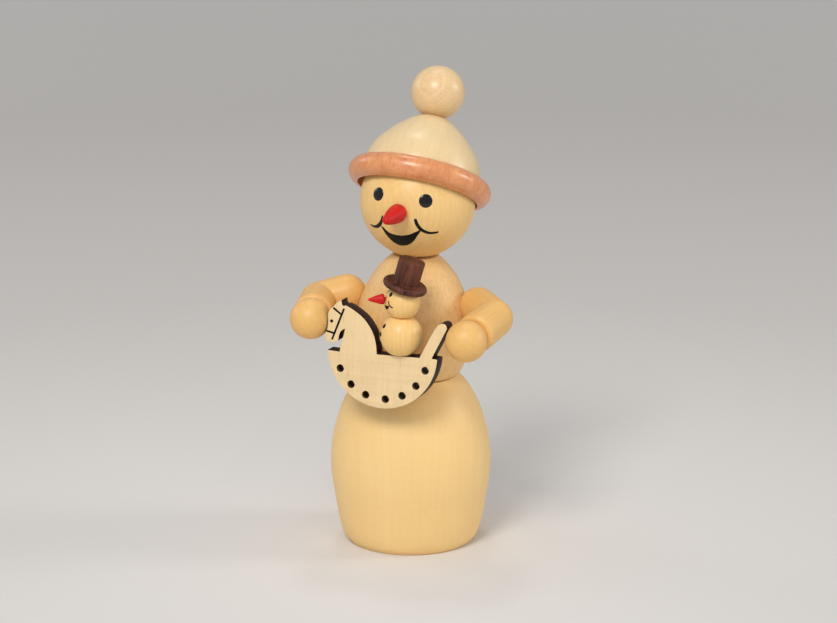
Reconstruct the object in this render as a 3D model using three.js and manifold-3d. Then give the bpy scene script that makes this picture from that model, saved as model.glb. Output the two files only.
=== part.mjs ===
// Wooden snowman figure that holds a small rocking horse with a toy snowman on it.
// Millimetres, +Z up, the figure looks towards -Y and its left is +X.
// The origin is the centre of the flat base. Every piece is its own named mesh.
import * as THREE from 'three';
import { mergeVertices } from 'three/addons/utils/BufferGeometryUtils.js';
import Module from 'manifold-3d';

const wasm = await Module();
wasm.setup();

// ---- Driving dimensions ---------------------------------------------------

const GLUE_GAP = 0.3;
const BORE_CLEARANCE = 0.2;

// Facets round the turned pieces, and steps along their profiles.
const SEGMENTS = { large: 32, medium: 24, small: 16, dowel: 12 };
const STEPS = {
  body: 14, ball: 14, smallBall: 10, roundEnd: 5, brim: 8, crown: 10, carrot: 6, carrotTip: 3, wrist: 4,
  rocker: 28, hole: 12, throat: 8, jaw: 18, face: 12, crest: 18, tail: 6, toyBrim: 5,
};
// Vertices closer than this are one vertex.
const WELD = 1e-4;
// Side of the block that trims a piece at a plane.
const TRIM_BLOCK = 60;
// How far a blind hole's cutter stands out in front of the hole.
const BORE_LEAD = 1;

// Half-profiles of the turned bodies, as [radius, height].
const WAIST_HEIGHT = 42.7;
const LOWER_BODY_PROFILE = [
  [15.3, 0], [16.6, 1.6], [17.65, 4.8], [18.8, 11.2], [19.75, 18.6],
  [19.35, 26], [17.35, 33.5], [14.5, 39], [11.6, WAIST_HEIGHT],
];
const UPPER_BODY = { foot: [0.3, 0, WAIST_HEIGHT], axis: [0.029, 0.012, 1], lift: 0.4 };
const UPPER_BODY_HEIGHT = 29.8;
const UPPER_BODY_PROFILE = [
  [11.4, 0], [13.0, 3], [14.2, 8], [14.25, 13],
  [13.3, 18], [11.2, 23], [8.5, 27], [5.6, UPPER_BODY_HEIGHT],
];

const HEAD = { radius: 14.1, flat: 13.1, centre: [1.57, 0.86, 86.05], lean: 2.5 };

const NOSE = {
  root: [0.55, 0.1],
  direction: [-0.02, -1, -0.03],
  length: 9.2,
  radius: 2.25,
  tip: 1.1,
  tenonRadius: 0.9,
  tenonLength: 3,
};
// A nose's flank as parts of its radius and length, and where its round tip starts, in degrees.
const CARROT = { shoulder: 0.84, widestAt: 0.12, swell: [0.95, 0.34], taperAt: 0.64, tipFrom: 22 };
const CONE = { shoulder: 0.8, widestAt: 0.1, swell: [0.82, 0.36], taperAt: 0.56, tipFrom: 22 };

// The hat leans back, so its axis is given as a direction.
const HAT = { centre: [1.36, 2.75, 89.94], axis: [0.053, 0.465, 0.884] };
const BRIM = { bore: 14.95, width: 2.75, halfHeight: 2.9 };
const CROWN_TOP = 16.35;
const CROWN_PROFILE = [
  [14.45, 2], [14.35, 4], [12.75, 8], [9.45, 12], [6.0, 15], [3.7, CROWN_TOP],
];
const CROWN_FOOT = 0.5;
const CROWN_OFFSET = 0.1;
// How much less deep the flat of the crown's hollow lies than its radius.
const HOLLOW_FLAT = 0.5;
const BOBBLE = { radius: 6.65, height: 23, offset: -0.35 };

const ARM_RADIUS = 4.8;
const HAND_RADIUS = 5;
const HAND_FLAT = 4;
const WRIST = { radius: 3.7, tenonRadius: 1.5, tenonLength: 3 };
const ARMS = {
  left: { shoulder: [17.3, 0.8, 60.5], elbow: [23.4, -5.9, 59.7], hand: [21.6, -20.5, 57.6] },
  right: { shoulder: [-16.0, -1.9, 61.6], elbow: [-22.1, -5.1, 59.9], hand: [-18.3, -20.5, 59.6] },
};

// The horse is a plate. Its outline is drawn on the front face, x across and y up.
const HORSE = { front: [0, -22.5, 50], thickness: 4, lean: 3 };
const ROCKER = { centre: [0.85, 3.7], radius: 14.1, from: 184, to: 357 };
const ROCKER_HOLES = {
  centre: [0.75, 3.65],
  pitchRadius: 11.75,
  radius: 0.95,
  angles: [206, 228.8, 250.5, 275.5, 297.4, 319.1, 341.6],
};
const CHEST_AND_THROAT = [[-10.05, 2.6], [-9.8, 3.9], [-9.3, 5.9], [-8.95, 7.3], [-8.75, 8.3]];
const JAW_AND_MUZZLE = [
  [-9.05, 8.25], [-9.85, 7.55], [-10.2, 6.7], [-10.5, 5.4], [-11.2, 4.95],
  [-12.3, 4.65], [-13.25, 4.85], [-13.7, 5.5], [-13.85, 6.8],
];
const FACE = [[-13.3, 8.0], [-13.1, 9.8], [-13.15, 11.6], [-12.7, 12.7], [-11.7, 13.7], [-10.8, 14.7]];
const EAR = [[-9.75, 15.3], [-9.55, 14.2], [-9.2, 13.9]];
const NECK_CREST = [
  [-8.6, 14.1], [-6.7, 13.2], [-4.3, 11.6], [-2.6, 9.7], [-1.36, 7.5], [-0.7, 5.1], [-0.5, 2.8],
];
const TAIL_FRONT = [[10.4, 2.95], [12.3, 6.7], [14.2, 10.3], [15.3, 11.6]];
const TAIL_TIP = [[16.15, 11.85], [16.95, 11.5], [17.25, 10.6]];
const RUMP = [[13.5, 3.05], [14.9, 2.9]];

const TOY = { x: 5.1, y: -20.5, seat: 53.15, facing: 60 };
const TOY_BODY = { radius: 5.2, height: 57.6, flatTop: 62.35 };
const TOY_HEAD = { radius: 4.3, shift: 0.35, height: 65.85 };
const TOY_NOSE = {
  lift: 0.95, length: 3.9, radius: 1.3, tip: 0.35, tenonRadius: 0.45, tenonLength: 1.8,
};
const TOY_HAT = {
  centre: [6.1, -20.5, 69.95],
  lean: 16.5,
  brimRadius: 5.4,
  brimHalf: 0.85,
  crownRadius: 3.2,
  top: 6.6,
  chamfer: 0.2,
};

// Glue dowels, centred on the joint that they hold.
const WAIST_DOWEL = { radius: 3, length: 16 };
const NECK_DOWEL = { radius: 2, length: 14 };
const BOBBLE_DOWEL = { radius: 1.5, length: 8 };
const SHOULDER_DOWEL = { radius: 1.25, length: 8, reach: 4 };
const TOY_SEAT_PIN = { radius: 0.75, length: 6 };
const TOY_NECK_PIN = { radius: 0.75, length: 4.6 };

// ---- Materials -------------------------------------------------------------

const wood = (color, roughness = 0.45) => (
  new THREE.MeshStandardMaterial({ color, roughness, metalness: 0 })
);
const MATERIALS = {
  body: wood(0xdcb880),
  torso: wood(0xe0b877),
  head: wood(0xe3bd7c),
  hat: wood(0xe6cfa4, 0.35),
  brim: wood(0xd38a62, 0.35),
  arm: wood(0xe6b76c),
  nose: wood(0xc8282b),
  plywood: wood(0xe8d3a6, 0.6),
  toy: wood(0xe6bf7c),
  toyHat: wood(0x48302b, 0.5),
  dowel: wood(0xd9b98a, 0.7),
};

// ---- Geometry helpers ------------------------------------------------------

const UP = new THREE.Vector3(0, 0, 1);
const vector = (values) => new THREE.Vector3(...values);
const radians = THREE.MathUtils.degToRad;

/** Points of a circular or elliptical arc, angles in degrees. */
function arc([x, y], radiusX, from, to, steps, radiusY = radiusX) {
  const points = [];
  for (let step = 0; step <= steps; step += 1) {
    const angle = radians(from + ((to - from) * step) / steps);
    points.push([x + radiusX * Math.cos(angle), y + radiusY * Math.sin(angle)]);
  }
  return points;
}

/** A smooth curve through a few points. */
function smooth(points, steps) {
  const curve = new THREE.SplineCurve(points.map(([x, y]) => new THREE.Vector2(x, y)));
  return curve.getPoints(steps).map((point) => [point.x, point.y]);
}

/** A solid of revolution about +Z from a closed [radius, height] profile, listed upwards outside. */
function turned(profile, segments) {
  const points = profile.map(([radius, height]) => new THREE.Vector2(radius, height));
  return new THREE.LatheGeometry(points, segments).rotateX(Math.PI / 2);
}

/** A ball about the origin with a flat underneath, at the given distance from its centre. */
function ball(radius, flat, segments, steps) {
  const from = -THREE.MathUtils.radToDeg(Math.asin(flat / radius));
  const profile = arc([0, 0], radius, from, 90, steps);
  profile[profile.length - 1] = [0, radius];
  return turned([[0, -flat], ...profile], segments);
}

/** A plain rod about +Z, from height 0 to its length. */
function rod(radius, length, segments = SEGMENTS.dowel) {
  return turned([[0, 0], [radius, 0], [radius, length], [0, length]], segments);
}

/** The manifold solid of a closed geometry. */
function toSolid(geometry) {
  const bare = geometry.clone();
  bare.deleteAttribute('normal');
  bare.deleteAttribute('uv');
  const welded = mergeVertices(bare, WELD);
  const corners = welded.index.array;
  const triangles = [];
  for (let i = 0; i < corners.length; i += 3) {
    const [a, b, c] = [corners[i], corners[i + 1], corners[i + 2]];
    if (a !== b && b !== c && c !== a) triangles.push(a, b, c);
  }
  return new wasm.Manifold(new wasm.Mesh({
    numProp: 3,
    vertProperties: welded.attributes.position.array,
    triVerts: new Uint32Array(triangles),
  }));
}

/** The three.js geometry of a manifold solid. */
function toGeometry(solid) {
  const { vertProperties, triVerts } = solid.getMesh();
  const geometry = new THREE.BufferGeometry();
  geometry.setAttribute('position', new THREE.BufferAttribute(vertProperties, 3));
  geometry.setIndex(new THREE.BufferAttribute(triVerts, 1));
  geometry.computeVertexNormals();
  return geometry;
}

/** Cuts a tool, given in the figure's frame, out of a placed mesh. */
function cut(mesh, tool) {
  mesh.updateWorldMatrix(true, false);
  const local = tool.clone().applyMatrix4(mesh.matrixWorld.clone().invert());
  mesh.geometry = toGeometry(toSolid(mesh.geometry).subtract(toSolid(local)));
}

/** Moves a geometry made about the origin along +Z to a point and a direction. */
function posed(geometry, point, direction) {
  const turn = new THREE.Quaternion().setFromUnitVectors(UP, direction.clone().normalize());
  return geometry.applyQuaternion(turn).translate(point.x, point.y, point.z);
}

/** Cuts away everything in front of a plane. */
function trim(mesh, point, normal) {
  const block = new THREE.BoxGeometry(TRIM_BLOCK, TRIM_BLOCK, TRIM_BLOCK).translate(0, 0, TRIM_BLOCK / 2);
  cut(mesh, posed(block, point, normal));
}

/** Bores a blind hole that starts at a point and runs along a direction. */
function bore(mesh, point, direction, radius, depth) {
  const along = direction.clone().normalize();
  const start = point.clone().addScaledVector(along, -BORE_LEAD);
  cut(mesh, posed(rod(radius + BORE_CLEARANCE, depth + BORE_LEAD), start, along));
}

// ---- Scene graph -----------------------------------------------------------

const figure = new THREE.Group();

/** A named mesh in a parent group. */
function piece(name, geometry, material, parent = figure) {
  const mesh = new THREE.Mesh(geometry, material);
  mesh.name = name;
  parent.add(mesh);
  return mesh;
}

/** A group at a point, with its own +Z turned to a direction. */
function frameAt(point, direction = UP, parent = figure) {
  const group = new THREE.Group();
  group.position.copy(point);
  group.quaternion.setFromUnitVectors(UP, direction.clone().normalize());
  parent.add(group);
  return group;
}

/** A glue dowel centred on a joint, and the hole for it through both pieces. */
function dowel(name, joint, direction, { radius, length }, ...pieces) {
  const along = direction.clone().normalize();
  const start = joint.clone().addScaledVector(along, -length / 2);
  const holeStart = start.clone().addScaledVector(along, -GLUE_GAP);
  const hole = posed(rod(radius + BORE_CLEARANCE, length + 2 * GLUE_GAP), holeStart, along);
  pieces.forEach((mesh) => cut(mesh, hole));
  return piece(name, rod(radius, length), MATERIALS.dowel, frameAt(start, along));
}

function makeLowerBody() {
  const outline = smooth(LOWER_BODY_PROFILE, STEPS.body);
  const top = WAIST_HEIGHT - GLUE_GAP / 2;
  outline[outline.length - 1][1] = top;
  return piece('lower_body', turned([[0, 0], ...outline, [0, top]], SEGMENTS.large), MATERIALS.body);
}

/** The upper body's solid; a grown copy of it shapes the shoulders. */
function upperBodySolid(grow = 0) {
  const outline = smooth(UPPER_BODY_PROFILE, STEPS.body);
  outline.forEach((point) => { point[0] += grow; });
  outline[0][1] = UPPER_BODY.lift;
  return turned([[0, UPPER_BODY.lift], ...outline, [0, UPPER_BODY_HEIGHT]], SEGMENTS.large);
}

function makeUpperBody() {
  const group = frameAt(vector(UPPER_BODY.foot), vector(UPPER_BODY.axis));
  return piece('upper_body', upperBodySolid(), MATERIALS.torso, group);
}

function makeHeadFrame() {
  const lean = radians(HEAD.lean);
  return frameAt(vector(HEAD.centre), new THREE.Vector3(Math.sin(lean), 0, Math.cos(lean)));
}

function makeHead(headFrame) {
  const solid = ball(HEAD.radius, HEAD.flat, SEGMENTS.large, STEPS.ball);
  return piece('head', solid, MATERIALS.head, headFrame);
}

/** A nose with a tenon behind it, pointing along +Z from its shoulder. */
function carrot({ length, radius, tip, tenonRadius, tenonLength }, shape, segments) {
  const { shoulder, widestAt, swell, taperAt, tipFrom } = shape;
  const flank = smooth([
    [radius * shoulder, 0],
    [radius, length * widestAt],
    [radius * swell[0], length * swell[1]],
    [(radius + tip) / 2, length * taperAt],
    [tip, length - tip],
  ], STEPS.carrot);
  const end = arc([0, length - tip], tip, tipFrom, 90, STEPS.carrotTip);
  end[end.length - 1] = [0, length];
  const tenon = [[0, -tenonLength], [tenonRadius, -tenonLength], [tenonRadius, 0]];
  return turned([...tenon, ...flank, ...end], segments);
}

function makeNose(headFrame, head) {
  const [x, z] = NOSE.root;
  const root = new THREE.Vector3(x, -HEAD.radius - GLUE_GAP, z);
  const noseFrame = frameAt(root, vector(NOSE.direction), headFrame);
  const nose = piece('nose', carrot(NOSE, CARROT, SEGMENTS.small), MATERIALS.nose, noseFrame);
  noseFrame.updateWorldMatrix(true, false);
  const start = noseFrame.localToWorld(new THREE.Vector3());
  const inward = noseFrame.localToWorld(new THREE.Vector3(0, 0, -1)).sub(start);
  bore(head, start, inward, NOSE.tenonRadius, NOSE.tenonLength + GLUE_GAP);
  return nose;
}

function makeCrown(hatFrame) {
  const outline = smooth(CROWN_PROFILE, STEPS.crown);
  const foot = [[0, CROWN_FOOT], [CROWN_PROFILE[0][0], CROWN_FOOT]];
  const dome = turned([...foot, ...outline, [0, CROWN_TOP]], SEGMENTS.large);
  const crown = piece('hat_crown', dome, MATERIALS.hat, hatFrame);
  crown.position.x = CROWN_OFFSET;
  const room = HEAD.radius + GLUE_GAP;
  const hollow = ball(room, room - HOLLOW_FLAT, SEGMENTS.large, STEPS.ball);
  cut(crown, posed(hollow, vector(HEAD.centre), vector(HAT.axis)));
  return crown;
}

function makeBrim(hatFrame) {
  const outline = arc([BRIM.bore, 0], BRIM.width, -90, 90, STEPS.brim, BRIM.halfHeight);
  outline.forEach((point) => { point[0] = Math.max(point[0], BRIM.bore); });
  const ring = turned([...outline, outline[0]], SEGMENTS.large);
  return piece('hat_brim', ring, MATERIALS.brim, hatFrame);
}

function makeBobble(hatFrame) {
  const flat = BOBBLE.height - CROWN_TOP - GLUE_GAP;
  const solid = ball(BOBBLE.radius, flat, SEGMENTS.medium, STEPS.smallBall);
  const bobble = piece('bobble', solid, MATERIALS.hat, hatFrame);
  bobble.position.set(BOBBLE.offset, 0, BOBBLE.height);
  return bobble;
}

function makeHat() {
  const axis = vector(HAT.axis);
  const hatFrame = frameAt(vector(HAT.centre), axis);
  const crown = makeCrown(hatFrame);
  const bobble = makeBobble(hatFrame);
  makeBrim(hatFrame);
  hatFrame.updateWorldMatrix(true, false);
  const joint = hatFrame.localToWorld(new THREE.Vector3(BOBBLE.offset, 0, CROWN_TOP + GLUE_GAP / 2));
  dowel('bobble_dowel', joint, axis, BOBBLE_DOWEL, crown, bobble);
}

/** A rod with round ends from height 0 to its length. */
function capsule(radius, length) {
  const lower = arc([0, 0], radius, -90, 0, STEPS.roundEnd);
  const upper = arc([0, length], radius, 0, 90, STEPS.roundEnd);
  lower[0] = [0, -radius];
  upper[upper.length - 1] = [0, length + radius];
  return turned([...lower, ...upper], SEGMENTS.medium);
}

/** A rod with a round elbow end at height 0 and a turned tenon at the wrist. */
function forearmBlank(length) {
  const elbow = arc([0, 0], ARM_RADIUS, -90, 0, STEPS.roundEnd);
  elbow[0] = [0, -ARM_RADIUS];
  const edge = ARM_RADIUS - WRIST.radius;
  const wrist = arc([WRIST.radius, length - edge], edge, 0, 90, STEPS.wrist);
  const end = length + WRIST.tenonLength;
  const tenon = [[WRIST.tenonRadius, length], [WRIST.tenonRadius, end], [0, end]];
  return turned([...elbow, ...wrist, ...tenon], SEGMENTS.medium);
}

function makeArm(side, upperBody) {
  const [shoulder, elbow, hand] = ['shoulder', 'elbow', 'hand'].map((key) => vector(ARMS[side][key]));
  const upperAlong = elbow.clone().sub(shoulder);
  const foreAlong = hand.clone().sub(elbow);
  const upperFrame = frameAt(shoulder, upperAlong);
  const foreFrame = frameAt(elbow, foreAlong);
  const upperRod = capsule(ARM_RADIUS, upperAlong.length());
  const foreRod = forearmBlank(foreAlong.length() - HAND_FLAT - GLUE_GAP);
  const handBall = ball(HAND_RADIUS, HAND_FLAT, SEGMENTS.medium, STEPS.smallBall);
  const upperArm = piece(`upper_arm_${side}`, upperRod, MATERIALS.arm, upperFrame);
  const forearm = piece(`forearm_${side}`, foreRod, MATERIALS.arm, foreFrame);
  const ballHand = piece(`hand_${side}`, handBall, MATERIALS.arm, frameAt(hand, foreAlong));

  upperAlong.normalize();
  foreAlong.normalize();
  const mitre = upperAlong.clone().add(foreAlong).normalize();
  trim(upperArm, elbow.clone().addScaledVector(mitre, -GLUE_GAP / 2), mitre);
  trim(forearm, elbow.clone().addScaledVector(mitre, GLUE_GAP / 2), mitre.clone().negate());
  cut(upperArm, posed(upperBodySolid(GLUE_GAP), vector(UPPER_BODY.foot), vector(UPPER_BODY.axis)));
  const wrist = hand.clone().addScaledVector(foreAlong, -HAND_FLAT);
  bore(ballHand, wrist, foreAlong, WRIST.tenonRadius, WRIST.tenonLength + GLUE_GAP);
  const joint = shoulder.clone().addScaledVector(upperAlong, -SHOULDER_DOWEL.reach);
  dowel(`shoulder_dowel_${side}`, joint, upperAlong, SHOULDER_DOWEL, upperBody, upperArm);
}

function horseOutline() {
  const rocker = arc(ROCKER.centre, ROCKER.radius, ROCKER.to - 360, ROCKER.from - 360, STEPS.rocker);
  return [
    ...smooth(CHEST_AND_THROAT, STEPS.throat),
    ...smooth(JAW_AND_MUZZLE, STEPS.jaw),
    ...smooth(FACE, STEPS.face),
    ...EAR,
    ...smooth(NECK_CREST, STEPS.crest),
    ...smooth(TAIL_FRONT, STEPS.tail),
    ...smooth(TAIL_TIP, STEPS.tail),
    ...RUMP,
    ...rocker,
  ];
}

function makeHorse() {
  const toPoints = (points) => points.map(([x, y]) => new THREE.Vector2(x, y));
  const shape = new THREE.Shape(toPoints(horseOutline()));
  ROCKER_HOLES.angles.forEach((angle) => {
    const [centre] = arc(ROCKER_HOLES.centre, ROCKER_HOLES.pitchRadius, angle, angle, 1);
    const ring = arc(centre, ROCKER_HOLES.radius, 0, 360, STEPS.hole).slice(0, -1);
    shape.holes.push(new THREE.Path(toPoints(ring)));
  });
  const plate = new THREE.ExtrudeGeometry(shape, { depth: HORSE.thickness, bevelEnabled: false });
  plate.translate(0, 0, -HORSE.thickness);
  const horse = piece('rocking_horse', plate, MATERIALS.plywood);
  horse.position.set(...HORSE.front);
  horse.rotation.x = Math.PI / 2 - radians(HORSE.lean);
  return horse;
}

function toyHatGeometry() {
  const { brimRadius, brimHalf, crownRadius, top, chamfer } = TOY_HAT;
  const edge = arc([brimRadius - brimHalf, 0], brimHalf, -90, 90, STEPS.toyBrim);
  const rim = [[crownRadius, top - chamfer], [crownRadius - chamfer, top]];
  const crown = [[crownRadius, brimHalf], ...rim, [0, top]];
  return turned([[0, -brimHalf], ...edge, ...crown], SEGMENTS.medium);
}

function makeToy(horse) {
  const facing = radians(TOY.facing);
  const bodyCentre = new THREE.Vector3(TOY.x, TOY.y, TOY_BODY.height);
  const seatGap = TOY_BODY.height - TOY.seat;
  const bodyBall = ball(TOY_BODY.radius, seatGap, SEGMENTS.medium, STEPS.smallBall);
  const body = piece('toy_body', bodyBall, MATERIALS.toy);
  body.position.copy(bodyCentre);
  trim(body, new THREE.Vector3(TOY.x, TOY.y, TOY_BODY.flatTop), UP);

  const neck = TOY_BODY.flatTop + GLUE_GAP;
  const headBall = ball(TOY_HEAD.radius, TOY_HEAD.height - neck, SEGMENTS.medium, STEPS.smallBall);
  const head = piece('toy_head', headBall, MATERIALS.toy);
  head.position.set(TOY.x + TOY_HEAD.shift, TOY.y, TOY_HEAD.height);

  const lean = radians(TOY_HAT.lean);
  const hatAxis = new THREE.Vector3(Math.sin(lean), 0, Math.cos(lean));
  const hatCentre = vector(TOY_HAT.centre);
  piece('toy_hat', toyHatGeometry(), MATERIALS.toyHat, frameAt(hatCentre, hatAxis));
  trim(head, hatCentre.clone().addScaledVector(hatAxis, -TOY_HAT.brimHalf - GLUE_GAP), hatAxis);

  const forward = new THREE.Vector3(-Math.sin(facing), -Math.cos(facing), 0);
  const reach = Math.sqrt(TOY_HEAD.radius ** 2 - TOY_NOSE.lift ** 2) + GLUE_GAP;
  const root = head.position.clone().addScaledVector(forward, reach);
  root.z += TOY_NOSE.lift;
  piece('toy_nose', carrot(TOY_NOSE, CONE, SEGMENTS.small), MATERIALS.nose, frameAt(root, forward));
  const { tenonRadius, tenonLength } = TOY_NOSE;
  bore(head, root, forward.clone().negate(), tenonRadius, tenonLength + GLUE_GAP);

  const seatJoint = new THREE.Vector3(TOY.x, TOY.y, TOY.seat);
  const neckJoint = new THREE.Vector3(TOY.x, TOY.y, TOY_BODY.flatTop + GLUE_GAP / 2);
  dowel('toy_seat_pin', seatJoint, UP, TOY_SEAT_PIN, horse, body);
  dowel('toy_neck_pin', neckJoint, UP, TOY_NECK_PIN, body, head);
}

const lowerBody = makeLowerBody();
const upperBody = makeUpperBody();
const headFrame = makeHeadFrame();
const head = makeHead(headFrame);
makeNose(headFrame, head);
makeHat();
makeArm('left', upperBody);
makeArm('right', upperBody);
makeToy(makeHorse());

dowel('waist_dowel', new THREE.Vector3(0, 0, WAIST_HEIGHT), UP, WAIST_DOWEL, lowerBody, upperBody);
const neckJoint = headFrame.localToWorld(new THREE.Vector3(0, 0, -HEAD.flat - GLUE_GAP / 2));
const neckAxis = UP.clone().applyQuaternion(headFrame.quaternion);
dowel('neck_dowel', neckJoint, neckAxis, NECK_DOWEL, upperBody, head);

export default figure;
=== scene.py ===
"""Wooden snowman figure with a small rocking horse: the looks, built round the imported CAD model."""

import math

import bmesh
import bpy
import numpy as np
from mathutils import Matrix, Vector
from mathutils.geometry import delaunay_2d_cdt


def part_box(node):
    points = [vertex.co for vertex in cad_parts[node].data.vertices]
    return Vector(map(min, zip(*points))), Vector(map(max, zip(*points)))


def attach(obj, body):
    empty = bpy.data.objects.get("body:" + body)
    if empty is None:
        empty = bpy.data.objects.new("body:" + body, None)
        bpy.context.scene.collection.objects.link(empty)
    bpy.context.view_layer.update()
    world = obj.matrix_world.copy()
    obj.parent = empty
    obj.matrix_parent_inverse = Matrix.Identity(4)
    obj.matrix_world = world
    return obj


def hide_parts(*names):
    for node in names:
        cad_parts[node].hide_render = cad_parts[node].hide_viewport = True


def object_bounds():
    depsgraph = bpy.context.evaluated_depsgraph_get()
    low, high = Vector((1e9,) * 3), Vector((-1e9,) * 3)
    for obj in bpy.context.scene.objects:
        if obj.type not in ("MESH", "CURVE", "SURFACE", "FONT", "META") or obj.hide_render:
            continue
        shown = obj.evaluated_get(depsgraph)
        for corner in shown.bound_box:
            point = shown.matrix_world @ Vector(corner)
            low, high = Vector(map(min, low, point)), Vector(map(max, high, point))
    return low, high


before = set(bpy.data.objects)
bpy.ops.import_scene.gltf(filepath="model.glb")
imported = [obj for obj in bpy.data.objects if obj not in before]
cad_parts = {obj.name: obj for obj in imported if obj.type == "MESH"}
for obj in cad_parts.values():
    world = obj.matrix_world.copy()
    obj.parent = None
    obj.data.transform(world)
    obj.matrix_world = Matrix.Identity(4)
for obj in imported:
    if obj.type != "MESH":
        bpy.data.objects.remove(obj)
cad_low, cad_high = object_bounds()

MM = 0.001

# ---- Shapes, in millimetres, the same as in the CAD model ------------------
# The figure looks towards -Y, and its left is +X.

LOWER_BODY = [
    (15.3, 0), (16.6, 1.6), (17.65, 4.8), (18.8, 11.2), (19.75, 18.6),
    (19.35, 26), (17.35, 33.5), (14.5, 39), (11.6, 42.55),
]
UPPER_BODY = [
    (11.4, 0), (13.0, 3), (14.2, 8), (14.25, 13),
    (13.3, 18), (11.2, 23), (8.5, 27), (5.6, 29.8),
]
UPPER_BODY_AXIS = (0.029, 0.012, 1)
UPPER_BODY_LIFT = 0.4
HEAD = {"radius": 14.1, "flat": 13.1}
HEAD_AXIS = (math.sin(math.radians(2.5)), 0, math.cos(math.radians(2.5)))
NOSE = {"length": 9.2, "radius": 2.25, "tip": 1.1, "tenon_radius": 0.9, "tenon_length": 3}
NOSE_DIRECTION = (-0.02, -1, -0.03)
# The flank of a nose: its shoulder, where it is widest, its swell and where it tapers, as parts
# of its radius and length.
CARROT = {"shoulder": 0.84, "widest_at": 0.12, "swell": (0.95, 0.34), "taper_at": 0.64}
CONE = {"shoulder": 0.8, "widest_at": 0.1, "swell": (0.82, 0.36), "taper_at": 0.56}
HAT_AXIS = (0.053, 0.465, 0.884)
CROWN = [(14.45, 2), (14.35, 4), (12.75, 8), (9.45, 12), (6.0, 15), (3.7, 16.35)]
CROWN_FOOT = 0.5
# The hollow that the crown has for the head, a ball with a flat.
CROWN_ROOM = {"radius": 14.4, "flat": 13.9}
BRIM = {"bore": 14.95, "width": 2.75, "half_height": 2.9}
BOBBLE = {"radius": 6.65, "flat": 6.35}

ARM_RADIUS = 4.8
HAND = {"radius": 5, "flat": 4}
WRIST = {"radius": 3.7, "gap": 0.3, "tenon_radius": 1.5, "tenon_length": 3}
ARMS = {
    "left": {
        "shoulder": (17.3, 0.8, 60.5), "elbow": (23.4, -5.9, 59.7), "hand": (21.6, -20.5, 57.6),
    },
    "right": {
        "shoulder": (-16.0, -1.9, 61.6), "elbow": (-22.1, -5.1, 59.9), "hand": (-18.3, -20.5, 59.6),
    },
}
# The gap of a glued seam that shows as a hairline.
SEAM = 0.06

# The horse's outline lies on its front face, x across and y up.
HORSE = {"front": (0, -22.5, 50), "thickness": 4, "lean": 3, "edge": 0.07}
ROCKER = {"centre": (0.85, 3.7), "radius": 14.1, "from": 184, "to": 357}
ROCKER_HOLES = {
    "centre": (0.75, 3.65), "pitch_radius": 11.75, "radius": 0.95,
    "angles": (206, 228.8, 250.5, 275.5, 297.4, 319.1, 341.6),
}
CHEST_AND_THROAT = [(-10.05, 2.6), (-9.8, 3.9), (-9.3, 5.9), (-8.95, 7.3), (-8.75, 8.3)]
JAW_AND_MUZZLE = [
    (-9.05, 8.25), (-9.85, 7.55), (-10.2, 6.7), (-10.5, 5.4), (-11.2, 4.95),
    (-12.3, 4.65), (-13.25, 4.85), (-13.7, 5.5), (-13.85, 6.8),
]
FACE = [(-13.3, 8.0), (-13.1, 9.8), (-13.15, 11.6), (-12.7, 12.7), (-11.7, 13.7), (-10.8, 14.7)]
EAR = [(-9.75, 15.3), (-9.55, 14.2), (-9.2, 13.9)]
NECK_CREST = [
    (-8.6, 14.1), (-6.7, 13.2), (-4.3, 11.6), (-2.6, 9.7), (-1.36, 7.5), (-0.7, 5.1), (-0.5, 2.8),
]
TAIL_FRONT = [(10.4, 2.95), (12.3, 6.7), (14.2, 10.3), (15.3, 11.6)]
TAIL_TIP = [(16.15, 11.85), (16.95, 11.5), (17.25, 10.6)]
RUMP = [(13.5, 3.05), (14.9, 2.9)]
BRIDLE = [
    [(-9.11, 13.07), (-11.98, 5.59)],
    [(-11.68, 13.15), (-9.75, 11.76)],
    [(-13.59, 7.45), (-11.53, 7.01)],
]
BRIDLE_WIDTHS = (0.52, 0.52)
HORSE_EYE = {"centre": (-12.19, 9.94), "radius": 0.42}
BURN_DEPTH = 0.12
# How far from a hole's middle its wall can lie, as a part of the hole's radius.
HOLE_WALL = 1.1

# Glue dowels, as radius, length and direction, and the room round each in its hole.
DOWELS = {
    "waist_dowel": (3, 16, (0, 0, 1)),
    "neck_dowel": (2, 14, HEAD_AXIS),
    "bobble_dowel": (1.5, 8, HAT_AXIS),
    "toy_seat_pin": (0.75, 6, (0, 0, 1)),
    "toy_neck_pin": (0.75, 4.6, (0, 0, 1)),
}
SHOULDER_DOWEL = (1.25, 8)
HOLE_ROOM = 0.2

# Degrees that the toy's nose is turned from straight ahead, towards the figure's right.
TOY_FACING = 60
TOY_BODY = {"radius": 5.2, "flat": 4.45, "top": 4.85}
TOY_HEAD = {"radius": 4.3, "flat": 3.3}
# The toy's glued neck shows as a hairline: its head comes down by this, its body up by half of it.
NECK_CLOSING = 0.1
TOY_NOSE = {"length": 3.9, "radius": 1.3, "tip": 0.35, "tenon_radius": 0.45, "tenon_length": 1.8}
TOY_HAT = {"brim_radius": 5.4, "brim_half": 0.85, "crown_radius": 3.2, "top": 6.6}
TOY_HAT_LEAN = 16.5

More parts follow.
